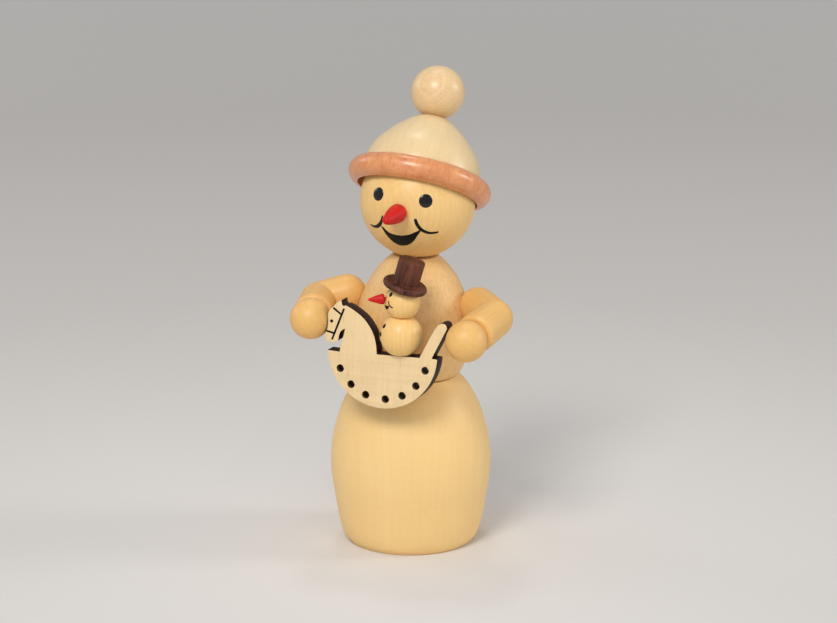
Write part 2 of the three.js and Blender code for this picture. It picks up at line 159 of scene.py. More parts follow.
# Painted features, as (azimuth, latitude) in degrees on their balls. Azimuth 0 is straight
# ahead, and grows towards the figure's left.
EYES = {"right": (-24.5, 14.8), "left": (27.9, 11.4)}
EYE_RADIUS = 1.66
MOUTH_TOP = [
    (-21.3, -17.4), (-18.5, -18), (-12.1, -23.5), (-1.6, -25.7), (8.8, -24.5), (16.8, -21),
    (22.9, -17.5),
]
MOUTH_BOTTOM = [
    (22.5, -20.6), (19.6, -25), (15.4, -32), (9.4, -37.4), (1.8, -39.9), (-5.6, -39.5),
    (-12.4, -34.5), (-17.5, -26.8),
]
MOUTH_MIDDLE = (1, -28)
CHEEKS = {
    "right": [
        (-17.5, -6.5), (-19.3, -11.5), (-22.6, -15.8), (-27.6, -18.9), (-33.4, -20), (-38.7, -19.3),
    ],
    "left": [
        (17.7, -7.6), (19.2, -12.2), (22.9, -17.3), (27.7, -20.5), (33.1, -22.2), (38.1, -22.2),
        (41.4, -21.8),
    ],
}
# Widths of the strokes, evenly spaced along them.
CHEEK_WIDTHS = {
    "right": (0.5, 0.75, 1.0, 0.9, 0.66, 0.46),
    "left": (0.78, 0.88, 0.84, 0.74, 0.66, 0.52),
}
# The azimuth of the middle of the toy's face, turned a little further forwards than its nose. Its
# eyes, mouth and cheeks are given from there, and its buttons as places on its body.
TOY_FACE = -56
TOY_EYE = {"azimuth": 24, "latitude": 34, "radius": 0.58}
TOY_MOUTH = [(-36, -3), (-3, -7), (29, -2)]
TOY_MOUTH_BOTTOM = [(21, -14.6), (-3, -20), (-28, -14.6)]
TOY_CHEEK = [(25, 10.5), (28, 2.5), (33, -3.6), (41.4, -6.4)]
TOY_CHEEK_WIDTHS = (0.38, 0.38)
TOY_MOUTH_LATITUDE = -9
TOY_BUTTONS = {"places": ((-47, 32), (-53, 7), (-57, -18)), "radius": 0.62}

# Films of paint: how thick they are, how wide their rounded edge is, and the step of their mesh.
FILM = {"thickness": 0.09, "edge": 0.3, "step": 0.12}
EYE_FILM = {**FILM, "thickness": 0.24, "edge": 1.5}
CHEEK_FILM = {**FILM, "step": 0.1}
TOY_EYE_FILM = {"thickness": 0.07, "edge": 0.3, "step": 0.08}
TOY_CHEEK_FILM = {"thickness": 0.04, "edge": 0.12, "step": 0.06}
TOY_MOUTH_FILM = {"thickness": 0.05, "edge": 0.15, "step": 0.08}
TOY_BUTTON_FILM = {"thickness": 0.12, "edge": 0.5, "step": 0.1}
# How deep the underside of a film lies in the wood, and how near to its outline, as a part of the
# step, the points inside it may come.
FILM_ROOT = 0.06
FILM_CLEARANCE = 0.55

# Segments round a turned piece, and the rounding of the edges of large ones and of the hat's.
ROUND = 128
SMALL_ROUND = 96
BODY_EDGE = 0.35
CROWN_EDGE = 0.4
BRIM_EDGE = 0.3
TOY_EDGE = 0.08
TOY_HAT_EDGE = 0.2
GRAIN = "grain_place"


# ---- Mesh helpers ----------------------------------------------------------

def smooth(points, steps):
    """Points along the smooth curve through a few points."""
    last = len(points) - 1
    made = []
    for step in range(steps + 1):
        place = last * step / steps
        i = min(int(place), last - 1)
        t = place - i
        four = (points[max(i - 1, 0)], points[i], points[i + 1], points[min(i + 2, last)])
        a, b, c, d = (Vector(p) for p in four)
        start, end = (c - a) / 2, (d - b) / 2
        curve = (2 * b - 2 * c + start + end) * t**3 + (3 * c - 3 * b - 2 * start - end) * t**2
        made.append(tuple(curve + start * t + b))
    return made


def arc(centre, radius, start, end, steps, radius_y=None):
    """Points of a circular or elliptical arc, angles in degrees."""
    angles = [math.radians(start + (end - start) * step / steps) for step in range(steps + 1)]
    tall = radius if radius_y is None else radius_y
    return [(centre[0] + radius * math.cos(a), centre[1] + tall * math.sin(a)) for a in angles]


def soften(points, reach, steps=4, sharp=24):
    """A line with its sharp corners rounded, with a point kept close before and after each."""
    made = [points[0]]
    for before, corner, after in zip(points, points[1:], points[2:]):
        a, b, c = Vector(before), Vector(corner), Vector(after)
        if (b - a).length < 1e-6 or (c - b).length < 1e-6:
            continue
        if math.degrees((b - a).angle(c - b)) < sharp:
            made.append(corner)
            continue
        back = (a - b).normalized() * min(reach, (a - b).length * 0.4)
        on = (c - b).normalized() * min(reach, (c - b).length * 0.4)
        made.append(tuple(b + back * 2))
        for step in range(steps + 1):
            t = step / steps
            made.append(tuple(b + back * (1 - t) ** 2 + on * t**2))
        made.append(tuple(b + on * 2))
    return made + [points[-1]]


def finished(name, bm, sharp=32):
    """A new object from a bmesh in millimetres, smooth except at its sharp edges."""
    bmesh.ops.remove_doubles(bm, verts=bm.verts, dist=1e-5)
    bmesh.ops.recalc_face_normals(bm, faces=bm.faces)
    bmesh.ops.scale(bm, verts=bm.verts, vec=(MM, MM, MM))
    mesh = bpy.data.meshes.new(name)
    bm.to_mesh(mesh)
    bm.free()
    shade(mesh, sharp)
    piece = bpy.data.objects.new(name, mesh)
    bpy.context.scene.collection.objects.link(piece)
    return piece


def shade(mesh, sharp=32):
    """Smooth shading, with the sharp edges kept."""
    mesh.polygons.foreach_set("use_smooth", [True] * len(mesh.polygons))
    mesh.set_sharp_from_angle(angle=math.radians(sharp))


def turned(name, profile, closed=False, segments=ROUND):
    """A solid of revolution about +Z from [radius, height] points, or a ring from a closed profile."""
    bm = bmesh.new()
    rings = []
    for radius, height in profile:
        if radius < 1e-6:
            rings.append([bm.verts.new((0, 0, height))])
            continue
        turns = [2 * math.pi * i / segments for i in range(segments)]
        ring = [(radius * math.cos(a), radius * math.sin(a), height) for a in turns]
        rings.append([bm.verts.new(point) for point in ring])
    pairs = list(zip(rings, rings[1:]))
    if closed:
        pairs.append((rings[-1], rings[0]))
    for lower, upper in pairs:
        for i in range(segments):
            j = (i + 1) % segments
            below = [lower[i % len(lower)], lower[j % len(lower)]]
            above = [upper[j % len(upper)], upper[i % len(upper)]]
            corners = list(dict.fromkeys(below + above))
            if len(corners) > 2:
                bm.faces.new(corners)
    return finished(name, bm)


def ball(name, radius, flat, top=None, segments=ROUND, edge=0.12):
    """A ball about the origin with a flat underneath, and one on top if top is given."""
    low = -math.degrees(math.asin(flat / radius))
    high = 90 if top is None else math.degrees(math.asin(top / radius))
    profile = [(0, -flat), *arc((0, 0), radius, low, high, segments // 2)]
    if top is None:
        profile[-1] = (0, radius)
    else:
        profile.append((0, top))
    return turned(name, soften(profile, edge), segments=segments)


def upright(axis):
    """The rotation that turns +Z to a direction."""
    return Vector((0, 0, 1)).rotation_difference(Vector(axis)).to_matrix().to_4x4()


def corners_of(piece):
    """A piece's lowest and highest corners in the world."""
    points = np.array([piece.matrix_world @ v.co for v in piece.data.vertices])
    return Vector(points.min(0)), Vector(points.max(0))


def settle(piece, axis, node):
    """Turns a piece's +Z to an axis and centres its box on the box of its CAD node."""
    piece.matrix_world = upright(axis)
    low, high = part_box(node)
    mine_low, mine_high = corners_of(piece)
    piece.location = (low + high) / 2 - (mine_low + mine_high) / 2
    bpy.context.view_layer.update()
    return piece


def place(piece, point, axis):
    """Puts a piece's origin at a point, with its +Z along an axis."""
    piece.matrix_world = Matrix.Translation(point) @ upright(axis)
    bpy.context.view_layer.update()
    return piece


def drill(piece, node, radius, length, axis):
    """Cuts the hole of a dowel, a CAD node, into a piece."""
    wide = radius + HOLE_ROOM
    hole = turned("hole", [(0, 0), (wide, 0), (wide, length), (0, length)], segments=32)
    return cut(piece, settle(hole, axis, node))


def socket(piece, tenon, sizes):
    """Cuts the hole of another piece's tenon into a piece."""
    radius, depth = sizes["tenon_radius"] + HOLE_ROOM, sizes["tenon_length"] + HOLE_ROOM
    hole = turned("hole", [(0, -depth), (radius, -depth), (radius, 1), (0, 1)], segments=32)
    hole.matrix_world = tenon
    bpy.context.view_layer.update()
    return cut(piece, hole)


def cut(piece, tool, sharp=32):
    """Cuts a tool out of a piece, and removes the tool."""
    modifier = piece.modifiers.new("cut", "BOOLEAN")
    modifier.operation = "DIFFERENCE"
    modifier.solver = "EXACT"
    modifier.material_mode = "TRANSFER"
    modifier.object = tool
    bpy.context.view_layer.update()
    evaluated = piece.evaluated_get(bpy.context.evaluated_depsgraph_get())
    mesh = bpy.data.meshes.new_from_object(evaluated)
    piece.modifiers.clear()
    piece.data = mesh
    shade(mesh, sharp)
    bpy.data.objects.remove(tool)
    return piece


def trim(piece, point, normal):
    """Cuts away what is in front of a plane given in the world, and closes the cut."""
    inverse = piece.matrix_world.inverted()
    local_point = inverse @ point
    local_normal = inverse.to_3x3() @ normal
    bm = bmesh.new()
    bm.from_mesh(piece.data)
    everything = [*bm.verts, *bm.edges, *bm.faces]
    found = bmesh.ops.bisect_plane(bm, geom=everything, dist=1e-8, plane_co=local_point,
                                   plane_no=local_normal, clear_outer=True)
    edges = [e for e in found["geom_cut"] if isinstance(e, bmesh.types.BMEdge)]
    bmesh.ops.contextual_create(bm, geom=edges)
    bmesh.ops.recalc_face_normals(bm, faces=bm.faces)
    bm.to_mesh(piece.data)
    bm.free()
    shade(piece.data)
    return piece


def part(piece, slot, material, *nodes):
    """Makes a piece part of the figure: its finish, its body and the CAD nodes it stands for.

    The mesh moves into the figure's frame, and keeps each point's place in the piece's own
    frame as the attribute that the grain of its material follows."""
    if material is not None:
        piece.data.materials.clear()
        piece.data.materials.append(material)
    mesh = piece.data
    places = np.array([v.co for v in mesh.vertices], np.float32)
    mesh.attributes.new(GRAIN, "FLOAT_VECTOR", "POINT").data.foreach_set("vector", places.ravel())
    mesh.transform(piece.matrix_world)
    piece.matrix_world = Matrix.Identity(4)
    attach(piece, "root")
    if nodes:
        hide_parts(*nodes)
    return piece


# ---- Materials -------------------------------------------------------------

class Graph:
    """A material's node tree, with short calls that add nodes."""

    def __init__(self, name):
        self.material = bpy.data.materials.new(name)
        self.material.use_nodes = True
        self.tree = self.material.node_tree
        self.tree.nodes.clear()

    def add(self, kind, inputs, **settings):
        node = self.tree.nodes.new(kind)
        for key, value in settings.items():
            setattr(node, key, value)
        for key, value in inputs.items():
            if isinstance(value, bpy.types.NodeSocket):
                self.tree.links.new(value, node.inputs[key])
            else:
                node.inputs[key].default_value = value
        return node

    def own_place(self):
        """The place in a piece's own frame, which its mesh keeps."""
        return self.add("ShaderNodeAttribute", {}, attribute_name=GRAIN).outputs["Vector"]

    def object_place(self):
        return self.add("ShaderNodeTexCoord", {}).outputs["Object"]

    def mapped(self, vector, rotation=(0, 0, 0), scale=(1, 1, 1)):
        inputs = {"Vector": vector, "Rotation": rotation, "Scale": scale}
        return self.add("ShaderNodeMapping", inputs).outputs[0]

    def noise(self, vector, scale, detail=2.0, roughness=0.5):
        inputs = {"Vector": vector, "Scale": scale, "Detail": detail, "Roughness": roughness}
        return self.add("ShaderNodeTexNoise", inputs).outputs[0]

    def line_noise(self, place, scale, detail=2.0):
        node = self.add("ShaderNodeTexNoise", {}, noise_dimensions="1D")
        self.tree.links.new(place, node.inputs["W"])
        node.inputs["Scale"].default_value = scale
        node.inputs["Detail"].default_value = detail
        return node.outputs[0]

    def math(self, operation, a, b=0.0):
        return self.add("ShaderNodeMath", {0: a, 1: b}, operation=operation).outputs[0]

    def vector(self, operation, a, b):
        node = self.add("ShaderNodeVectorMath", {0: a, 1: b}, operation=operation)
        return node.outputs["Value" if operation == "LENGTH" else "Vector"]

    def between(self, value, low, high, to_low=0.0, to_high=1.0):
        inputs = {"Value": value, "From Min": low, "From Max": high,
                  "To Min": to_low, "To Max": to_high}
        return self.add("ShaderNodeMapRange", inputs).outputs[0]

    def mix(self, factor, a, b, blend="MIX"):
        inputs = {0: factor, 6: a, 7: b}
        return self.add("ShaderNodeMix", inputs, data_type="RGBA", blend_type=blend).outputs[2]

    def bump(self, height, distance):
        inputs = {"Height": height, "Distance": distance, "Strength": 1.0}
        return self.add("ShaderNodeBump", inputs).outputs[0]

    def surface(self, inputs):
        shader = self.add("ShaderNodeBsdfPrincipled", inputs)
        self.add("ShaderNodeOutputMaterial", {"Surface": shader.outputs[0]})
        return self.material


def linear(red, green, blue):
    """A linear colour from 8-bit screen values."""
    parts = [value / 255 for value in (red, green, blue)]
    return (*(p / 12.92 if p < 0.04045 else ((p + 0.055) / 1.055) ** 2.4 for p in parts), 1.0)


def wood(name, light, dark, warm, pith, tilt=(0, 0, 0), ring=1.6, rings=0.3, fibres=0.15, flecks=0.2,
         blotches=0.35, turning=0.008, roughness=0.46, coat=0.12, relief=0.005, bare=False):
    """Lacquered wood: growth rings round a pith, long fibres, short flecks, broad warm patches and
    the faint rings that turning leaves across the axis.

    Colours are screen values. The pith and the ring width are in millimetres from the piece's
    own origin, and the grain runs along the piece's own axis, turned by the tilt."""
    g = Graph(name)
    tilt = tuple(math.radians(angle) for angle in tilt)
    start = g.object_place() if bare else g.own_place()
    along = g.add("ShaderNodeSeparateXYZ", {"Vector": start}).outputs[2]
    marks = g.line_noise(g.math("DIVIDE", along, 0.9 * MM), 1.0, detail=4)
    place = g.mapped(start, rotation=tilt)
    place = g.vector("ADD", place, tuple(value * MM for value in (*pith, 0)))
    long = g.mapped(place, scale=(1, 1, 0.22))
    wobble = g.noise(long, 70, detail=2)
    reach = g.vector("LENGTH", g.vector("MULTIPLY", place, (1, 1, 0)), (0, 0, 0))
    phase = g.math("ADD", g.math("DIVIDE", reach, ring * MM), g.math("MULTIPLY", wobble, 4.0))
    drift = g.line_noise(phase, 0.9, detail=3)
    year = g.math("POWER", g.math("FRACT", phase), 3.0)
    rings_tone = g.math("ADD", g.math("MULTIPLY", drift, 0.65), g.math("MULTIPLY", year, 0.35))
    fibre = g.noise(g.mapped(place, scale=(1, 1, 0.045)), 2600, detail=3, roughness=0.6)
    fleck = g.noise(g.mapped(place, scale=(1, 1, 0.28)), 1500, detail=1)
    fleck = g.between(fleck, 0.56, 0.74)
    patch = g.noise(g.mapped(place, scale=(1, 1, 0.4)), 95, detail=2, roughness=0.55)

    ringed = g.math("MULTIPLY", g.between(rings_tone, 0.2, 0.75), rings)
    colour = g.mix(ringed, linear(*light), linear(*dark))
    warmed = g.math("MULTIPLY", g.between(patch, 0.38, 0.72), blotches)
    colour = g.mix(warmed, colour, linear(*warm))
    shadow = g.between(fibre, 0.3, 0.7, 1 - 0.3 * fibres, 1 + 0.12 * fibres)
    shadow = g.math("MULTIPLY", shadow, g.between(marks, 0.3, 0.7, 1 - turning, 1 + turning))
    blue = g.math("POWER", shadow, 1.5)
    tone = g.add("ShaderNodeCombineColor", {0: shadow, 1: shadow, 2: blue}).outputs[0]
    colour = g.mix(1.0, colour, tone, "MULTIPLY")
    colour = g.mix(g.math("MULTIPLY", fleck, flecks), colour, linear(*dark))

    height = g.math("ADD", g.math("MULTIPLY", fibre, 0.7), g.math("MULTIPLY", rings_tone, 0.5))
    height = g.math("SUBTRACT", height, g.math("MULTIPLY", fleck, 0.5))
    height = g.math("ADD", height, g.math("MULTIPLY", marks, turning * 20))
    return g.surface({
        "Base Color": colour,
        "Roughness": g.between(fibre, 0.25, 0.75, roughness - 0.06, roughness + 0.08),
        "Normal": g.bump(height, relief * MM),
        "Coat Weight": coat,
        "Coat Roughness": 0.28,
        "Specular IOR Level": 0.45,
    })


def stain(name, light, dark, streak=0.05, scale=1700, pores=0.5, roughness=0.36, coat=0.25,
          shine=0.5, relief=0.03):
    """Stained wood: streaks along the piece's own axis and open pores."""
    g = Graph(name)
    place = g.own_place()
    streaks = g.noise(g.mapped(place, scale=(1, 1, streak)), scale, detail=4, roughness=0.65)
    broad = g.noise(g.mapped(place, scale=(1, 1, streak * 3)), scale * 0.18, detail=2)
    pore = g.between(g.noise(g.mapped(place, scale=(1, 1, 0.2)), scale * 1.6, detail=1), 0.58, 0.72)
    tone = g.math("ADD", g.math("MULTIPLY", streaks, 0.6), g.math("MULTIPLY", broad, 0.4))
    colour = g.mix(g.between(tone, 0.34, 0.66), linear(*dark), linear(*light))
    colour = g.mix(g.math("MULTIPLY", pore, pores), colour, linear(*dark))
    height = g.math("SUBTRACT", g.math("MULTIPLY", streaks, 0.8), g.math("MULTIPLY", pore, 0.8))
    return g.surface({
        "Base Color": colour,
        "Roughness": g.between(streaks, 0.3, 0.7, roughness - 0.08, roughness + 0.1),
        "Normal": g.bump(height, relief * MM),
        "Coat Weight": coat,
        "Coat Roughness": 0.2,
        "Specular IOR Level": shine,
    })


def paint(name, colour, second, roughness, coat, shine=0.5, relief=0.02, scale=900):
    """Brushed-on paint: a slightly uneven colour and a soft brush texture."""
    g = Graph(name)
    place = g.own_place()
    cloudy = g.noise(place, scale * 0.4, detail=3)
    brushed = g.noise(g.mapped(place, scale=(1, 1, 0.15)), scale, detail=2)
    return g.surface({
        "Base Color": g.mix(g.between(cloudy, 0.3, 0.7), linear(*colour), linear(*second)),
        "Roughness": g.between(brushed, 0.3, 0.7, roughness - 0.05, roughness + 0.07),
        "Normal": g.bump(brushed, relief * MM),
        "Specular IOR Level": shine,
        "Coat Weight": coat,
        "Coat Roughness": 0.1,
    })


def plywood_face():
    """Pale plywood with fine upright grain, a few pores and thin dark fibres."""
    g = Graph("plywood_face")
    place = g.own_place()
    grain = g.noise(g.mapped(place, scale=(1, 0.035, 1)), 1900, detail=4, roughness=0.6)
    bands = g.noise(g.mapped(place, scale=(1, 0.1, 1)), 420, detail=2)
    pore = g.between(g.noise(g.mapped(place, scale=(1, 0.16, 1)), 1500, detail=1), 0.66, 0.76)
    tone = g.math("ADD", g.math("MULTIPLY", grain, 0.55), g.math("MULTIPLY", bands, 0.45))
    colour = g.mix(g.between(tone, 0.3, 0.7), linear(225, 194, 145), linear(236, 208, 160))
    colour = g.mix(g.math("MULTIPLY", pore, 0.3), colour, linear(180, 142, 98))
    return g.surface({
        "Base Color": colour,
        "Roughness": g.between(grain, 0.3, 0.7, 0.5, 0.64),
        "Normal": g.bump(g.math("SUBTRACT", grain, pore), 0.01 * MM),
        "Specular IOR Level": 0.35,
    })


def charred_edge(name, dark, brown, deep_shade=None):
    """The scorched edge of cut plywood: dark plies, with browner glue lines between them.

    Inside a hole the edge darkens to a deeper colour away from the front face, a painted shade that
    stands in for the dark inside the hole."""
    g = Graph(name)
    place = g.own_place()
    across = g.add("ShaderNodeSeparateXYZ", {"Vector": place}).outputs[2]
    plies = g.line_noise(g.math("DIVIDE", across, 1.1 * MM), 1.0, detail=1)
    soot = g.noise(g.mapped(place, scale=(1, 1, 0.35)), 1400, detail=4, roughness=0.65)
    tone = g.math("ADD", g.math("MULTIPLY", plies, 0.45), g.math("MULTIPLY", soot, 0.55))
    colour = g.mix(g.between(tone, 0.36, 0.68), linear(*dark), linear(*brown))
    if deep_shade is not None:
        # Painted shade: from 0.4 to 1.5 mm behind the front face the wall turns to the deep colour,
        # darker deeper in the hole.
        colour = g.mix(g.between(across, -0.4 * MM, -1.5 * MM), colour, linear(*deep_shade))
    return g.surface({
        "Base Color": colour,
        "Roughness": g.between(soot, 0.3, 0.7, 0.55, 0.75),
        "Normal": g.bump(soot, 0.05 * MM),
        "Specular IOR Level": 0.2,
    })


def floor_paper():
    """Pale studio paper, with the falloff of the studio light painted into its colour by distance from
    the figure.
    """
    g = Graph("floor_paper")
    place = g.object_place()
    fine = g.noise(place, 1200, detail=3)
    soft = g.noise(place, 9, detail=1)
    colour = g.mix(g.between(soft, 0.3, 0.7), linear(218, 213, 207), linear(221, 216, 210))
    # Painted light: the paper darkens from the figure out to about 0.5 m and lightens again further
    # off, a painted falloff of the studio light.
    far = g.vector("LENGTH", place, (0, 0, 0))
    colour = g.mix(g.between(far, 0.04, 0.24), colour, linear(202, 197, 191))
    colour = g.mix(g.between(far, 0.24, 0.5), colour, linear(196, 191, 185))
    colour = g.mix(g.between(far, 0.55, 0.95), colour, linear(216, 212, 206))
    return g.surface({
        "Base Color": colour,
        "Roughness": g.between(fine, 0.3, 0.7, 0.7, 0.8),
        "Normal": g.bump(fine, 0.02 * MM),
        "Specular IOR Level": 0.2,
    })


MATERIALS = {
    "body": wood("body_wood", (241, 204, 138), (228, 184, 112), (238, 194, 120), pith=(30, 34),
                 ring=2.1, rings=0.16, fibres=0.05, flecks=0.08, blotches=0.4, coat=0.06,
                 roughness=0.5),
    "torso": wood("torso_wood", (234, 194, 132), (204, 154, 96), (228, 180, 112), pith=(-26, 30),
                  ring=1.7, rings=0.3, fibres=0.25, flecks=0.5, blotches=0.4, coat=0.05,
                  roughness=0.5),
    "head": wood("head_wood", (240, 201, 132), (221, 172, 100), (238, 188, 110), pith=(-22, -20),
                 ring=1.5, rings=0.35, fibres=0.2, blotches=0.4, coat=0.14),
    "hat": wood("hat_wood", (230, 203, 154), (214, 180, 128), (226, 192, 136), pith=(24, 16),
                ring=2.4, rings=0.3, fibres=0.12, flecks=0.12, blotches=0.35, coat=0.3,
                roughness=0.36),
    "bobble": wood("bobble_wood", (233, 200, 150), (204, 160, 108), (228, 186, 130), pith=(3, -16),
                   tilt=(0, 90, 0), ring=0.62, rings=0.38, fibres=0.2, blotches=0.3, turning=0,
                   coat=0.3, roughness=0.4),
    "arm": wood("arm_wood", (234, 186, 112), (219, 162, 88), (234, 174, 92), pith=(12, 9),
                ring=1.9, rings=0.3, fibres=0.2, blotches=0.45, coat=0.1),
    "toy": wood("toy_wood", (243, 200, 128), (222, 170, 98), (240, 188, 108), pith=(9, 7),
                ring=1.2, rings=0.3, fibres=0.2, blotches=0.35, coat=0.15),
    "dowel": wood("dowel_wood", (222, 190, 142), (196, 156, 108), (214, 176, 122), pith=(5, 4),
                  ring=0.8, coat=0.0, roughness=0.6, bare=True),
    "brim": stain("brim_stain", (233, 160, 104), (203, 124, 74), streak=0.25, pores=0.2,
                  roughness=0.34, coat=0.42),
    "toy_hat": stain("toy_hat_stain", (122, 64, 44), (10, 5, 4), streak=0.06, scale=1900, pores=0.6,
                     roughness=0.52, coat=0.02, shine=0.3),
    "red": paint("red_stain", (212, 20, 18), (188, 12, 16), roughness=0.5, coat=0.05, shine=0.28),
    "black": paint("black_paint", (14, 12, 12), (20, 18, 18), roughness=0.5, coat=0.0, shine=0.25),
    "gloss": paint("gloss_black_paint", (12, 11, 12), (16, 15, 16), roughness=0.2, coat=0.9,
                   shine=0.1),
    "plywood": plywood_face(),
    "char": charred_edge("charred_edge", (26, 17, 19), (64, 45, 43)),
    "burnt": charred_edge("burnt_line", (10, 6, 6), (22, 14, 12)),
    # The walls of the holes: char painted much lighter than the outer edge, a painted light on their
    # rims, darkening to a painted shade deeper in.
    "hole": charred_edge("hole_char_painted_light_and_shade", (84, 64, 54), (168, 140, 114), deep_shade=(20, 14, 12)),
    "floor": floor_paper(),
}


# ---- The figure ------------------------------------------------------------

def make_lower_body():
    profile = [(0, 0), *smooth(LOWER_BODY, 70), (0, LOWER_BODY[-1][1])]
    piece = turned("lower_body_wood", soften(profile, BODY_EDGE))
    settle(piece, (0, 0, 1), "lower_body")
    drill(piece, "waist_dowel", *DOWELS["waist_dowel"])
    return part(piece, "body_wood", MATERIALS["body"], "lower_body")


def torso_solid(name, grow=0.0):
    """The upper body, or a copy of it grown by a gap."""
    line = [(radius + grow, max(height, UPPER_BODY_LIFT)) for radius, height in smooth(UPPER_BODY, 60)]
    profile = [(0, UPPER_BODY_LIFT), *line, (0, UPPER_BODY[-1][1])]
    return settle(turned(name, soften(profile, BODY_EDGE)), UPPER_BODY_AXIS, "upper_body")


def make_upper_body():
    piece = torso_solid("upper_body_wood")
    for node in ("waist_dowel", "neck_dowel"):
        drill(piece, node, *DOWELS[node])
    for side in ARMS:
        _, upper_along = arm_runs(side)
        drill(piece, f"shoulder_dowel_{side}", *SHOULDER_DOWEL, upper_along)
    return part(piece, "torso_wood", MATERIALS["torso"], "upper_body")


def make_head():
    """The head and its nose. Returns the middle of the head's ball."""
    head = ball("head_wood", HEAD["radius"], HEAD["flat"], segments=160)
    settle(head, HEAD_AXIS, "head")
    nose = settle(carrot("nose_carrot", NOSE, CARROT), nose_axis(), "nose")
    socket(head, nose.matrix_world, NOSE)
    drill(head, "neck_dowel", *DOWELS["neck_dowel"])
    middle = head.matrix_world.translation.copy()
    part(head, "head_wood", MATERIALS["head"], "head")
    part(nose, "red_stain", MATERIALS["red"], "nose")
    return middle


def carrot(name, sizes, shape):
    """A nose with a round shoulder, on a tenon, pointing along +Z."""
    length, radius, tip = sizes["length"], sizes["radius"], sizes["tip"]
    swell, swell_at = shape["swell"]
    flank = smooth([
        (radius * shape["shoulder"], 0), (radius, length * shape["widest_at"]),
        (radius * swell, length * swell_at), ((radius + tip) / 2, length * shape["taper_at"]),
        (tip, length - tip),
    ], 32)
    end = arc((0, length - tip), tip, 22, 90, 10)
    end[-1] = (0, length)
    depth, peg = sizes["tenon_length"], sizes["tenon_radius"]
    profile = [(0, -depth), (peg, -depth), (peg, 0), *flank, *end]
    return turned(name, soften(profile, radius * 0.3, steps=6), segments=64)


def nose_axis():
    """The nose's direction, which leans with the head."""
    return upright(HEAD_AXIS).to_3x3() @ Vector(NOSE_DIRECTION)


def make_hat(head_middle):
    outline = smooth(CROWN, 48)
    profile = [(0, CROWN_FOOT), (CROWN[0][0], CROWN_FOOT), *outline, (0, CROWN[-1][1])]
    crown = settle(turned("hat_crown_wood", soften(profile, CROWN_EDGE)), HAT_AXIS, "hat_crown")
    room = ball("room", **CROWN_ROOM, segments=SMALL_ROUND)
    cut(crown, place(room, head_middle, HAT_AXIS))
    drill(crown, "bobble_dowel", *DOWELS["bobble_dowel"])
    part(crown, "hat_wood", MATERIALS["hat"], "hat_crown")

    section = arc((BRIM["bore"], 0), BRIM["width"], -90, 90, 36, BRIM["half_height"])
    section = [(max(radius, BRIM["bore"]), height) for radius, height in section]
    section = soften([*section, section[0]], BRIM_EDGE)[:-1]
    ring = turned("hat_brim_ring", section, closed=True, segments=192)
    part(settle(ring, HAT_AXIS, "hat_brim"), "brim_stain", MATERIALS["brim"], "hat_brim")

    bobble = settle(ball("bobble_wood", BOBBLE["radius"], BOBBLE["flat"]), HAT_AXIS, "bobble")
    drill(bobble, "bobble_dowel", *DOWELS["bobble_dowel"])
    part(bobble, "hat_wood", MATERIALS["bobble"], "bobble")


def arm_runs(side):
    """From the elbow to the hand, and from the shoulder to the elbow."""
    shoulder, elbow, hand = (Vector(ARMS[side][key]) * MM for key in ("shoulder", "elbow", "hand"))
    return hand - elbow, elbow - shoulder


def make_arm(side):
    fore_along, upper_along = arm_runs(side)
    hand = ball(f"hand_{side}_ball", **HAND, segments=SMALL_ROUND)
    settle(hand, fore_along, f"hand_{side}")
    elbow = hand.matrix_world.translation - fore_along
    shoulder = elbow - upper_along

    reach = upper_along.length / MM
    lower = arc((0, 0), ARM_RADIUS, -90, 0, 24)
    upper = arc((0, reach), ARM_RADIUS, 0, 90, 24)
    lower[0], upper[-1] = (0, -ARM_RADIUS), (0, reach + ARM_RADIUS)
    rod = turned(f"upper_arm_{side}_rod", lower + upper, segments=SMALL_ROUND)
    upper_arm = place(rod, shoulder, upper_along)

    reach = fore_along.length / MM - HAND["flat"] - WRIST["gap"]
    edge = ARM_RADIUS - WRIST["radius"]
    wrist = arc((WRIST["radius"], reach - edge), edge, 0, 90, 10)
    end = reach + WRIST["tenon_length"]
    tenon = [(WRIST["tenon_radius"], reach), (WRIST["tenon_radius"], end), (0, end)]
    rod = turned(f"forearm_{side}_rod", lower + wrist + tenon, segments=SMALL_ROUND)
    forearm = place(rod, elbow, fore_along)
    turned_back = Matrix.Rotation(math.pi, 4, "X") @ Matrix.Translation((0, 0, -reach * MM))
    socket(hand, forearm.matrix_world @ turned_back, WRIST)

    mitre = (upper_along.normalized() + fore_along.normalized()).normalized()
    trim(upper_arm, elbow - mitre * SEAM * MM / 2, mitre)
    trim(forearm, elbow + mitre * SEAM * MM / 2, -mitre)
    cut(upper_arm, torso_solid("cope", SEAM))
    drill(upper_arm, f"shoulder_dowel_{side}", *SHOULDER_DOWEL, upper_along)
    part(hand, "arm_wood", MATERIALS["arm"], f"hand_{side}")
    part(upper_arm, "arm_wood", MATERIALS["arm"], f"upper_arm_{side}")
    part(forearm, "arm_wood", MATERIALS["arm"], f"forearm_{side}")


# ---- The rocking horse -----------------------------------------------------

def horse_outline():
    rocker = arc(ROCKER["centre"], ROCKER["radius"], ROCKER["to"] - 360, ROCKER["from"] - 360, 90)
    return [
        *smooth(CHEST_AND_THROAT, 16), *smooth(JAW_AND_MUZZLE, 36), *smooth(FACE, 30), *EAR,
        *smooth(NECK_CREST, 40), *smooth(TAIL_FRONT, 18), *smooth(TAIL_TIP, 12), *RUMP, *rocker,
    ]


